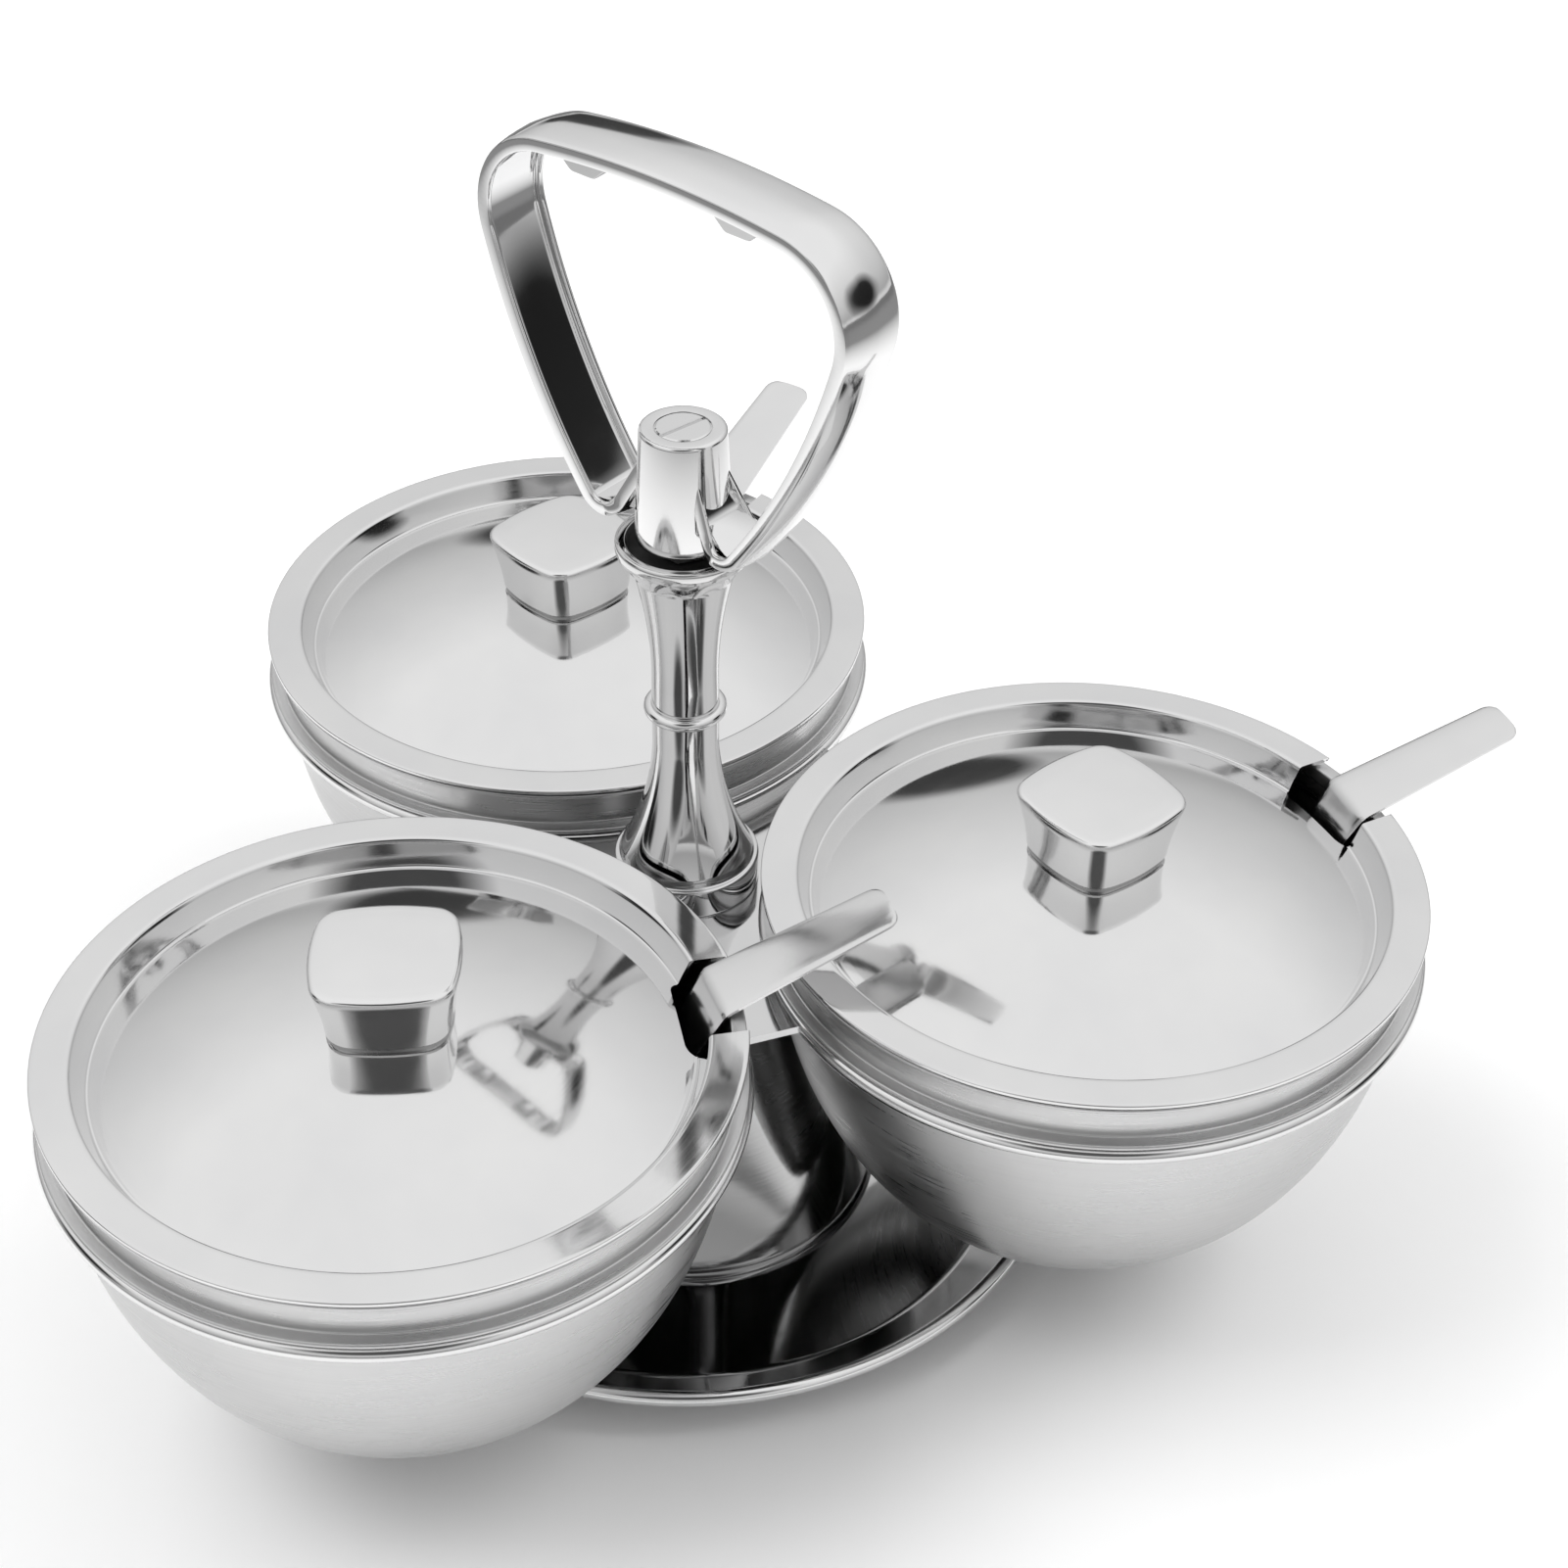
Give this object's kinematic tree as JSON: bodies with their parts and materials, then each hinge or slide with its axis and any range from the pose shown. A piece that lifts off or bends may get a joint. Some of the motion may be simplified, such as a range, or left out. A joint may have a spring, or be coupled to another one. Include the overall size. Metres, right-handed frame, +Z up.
{
  "type": "rotating spice rack",
  "caption": "Polished steel carousel: covered bowls with spoons hang in rings that turn round a column under a fixed carrying handle.",
  "frame": {"origin": "Centre of the base's felt foot on the table, on the turning axis.", "axes": "+Z is up along the turning axis; -Y faces the front, between the left and right bowls; +Y points to the back bowl."},
  "size_m": [0.3002, 0.2533, 0.2341],
  "materials": {
    "steel_polished": "mirror-polished stainless steel",
    "steel_satin": "satin stainless steel with fine turning marks",
    "felt_black": "dense black felt",
    "nylon_dark": "dark nylon"
  },
  "bodies": {
    "base": {"base_pad": "felt_black", "base_pan": "steel_polished", "pedestal_bell": "steel_polished", "lower_washer": "steel_satin", "lower_nut": "steel_satin", "bell_nut": "steel_satin", "centre_rod": "steel_satin", "thrust_washer": "nylon_dark", "lock_nut": "steel_satin", "handle": "steel_polished", "handle_screw": "steel_polished"},
    "carrier": {"carrier_hub": "steel_satin", "carrier_plate": "steel_polished", "column": "steel_polished", "upper_bush": "nylon_dark", "ring_left": "steel_polished", "ring_right": "steel_polished", "ring_back": "steel_polished"},
    "bowl_left": {"bowl_left": "steel_satin"},
    "lid_left": {"lid_left": "steel_polished", "knob_left": "steel_polished", "knob_collar_left": "steel_polished", "knob_screw_left": "steel_satin"},
    "spoon_left": {"spoon_left": "steel_satin"},
    "bowl_right": {"bowl_right": "steel_satin"},
    "lid_right": {"lid_right": "steel_polished", "knob_right": "steel_polished", "knob_collar_right": "steel_polished", "knob_screw_right": "steel_satin"},
    "spoon_right": {"spoon_right": "steel_satin"},
    "bowl_back": {"bowl_back": "steel_satin"},
    "lid_back": {"lid_back": "steel_polished", "knob_back": "steel_polished", "knob_collar_back": "steel_polished", "knob_screw_back": "steel_satin"},
    "spoon_back": {"spoon_back": "steel_satin"}
  },
  "joints": [
    {"name": "carrier_spin", "type": "hinge", "parent": "base", "child": "carrier", "pos_m": [0, 0, 0], "axis": [0, 0, 1], "continuous": true},
    {"name": "bowl_left_lift", "type": "slide", "parent": "carrier", "child": "bowl_left", "axis": [0, 0, 1], "range_m": [0, 0.036]},
    {"name": "lid_left_lift", "type": "slide", "parent": "bowl_left", "child": "lid_left", "axis": [0, 0, 1], "range_m": [0, 0.03]},
    {"name": "spoon_left_draw", "type": "slide", "parent": "bowl_left", "child": "spoon_left", "axis": [0.5, 0, 0.866], "range_m": [0, 0.04]},
    {"name": "bowl_right_lift", "type": "slide", "parent": "carrier", "child": "bowl_right", "axis": [0, 0, 1], "range_m": [0, 0.0015]},
    {"name": "lid_right_lift", "type": "slide", "parent": "bowl_right", "child": "lid_right", "axis": [0, 0, 1], "range_m": [0, 0.0015]},
    {"name": "spoon_right_draw", "type": "slide", "parent": "bowl_right", "child": "spoon_right", "axis": [0.5, 0, 0.866], "range_m": [0, 0.04]},
    {"name": "bowl_back_lift", "type": "slide", "parent": "carrier", "child": "bowl_back", "axis": [0, 0, 1], "range_m": [0, 0.036]},
    {"name": "lid_back_lift", "type": "slide", "parent": "bowl_back", "child": "lid_back", "axis": [0, 0, 1], "range_m": [0, 0.03]},
    {"name": "spoon_back_draw", "type": "slide", "parent": "bowl_back", "child": "spoon_back", "axis": [0.3913, 0.3113, 0.866], "range_m": [0, 0.04]}
  ]
}
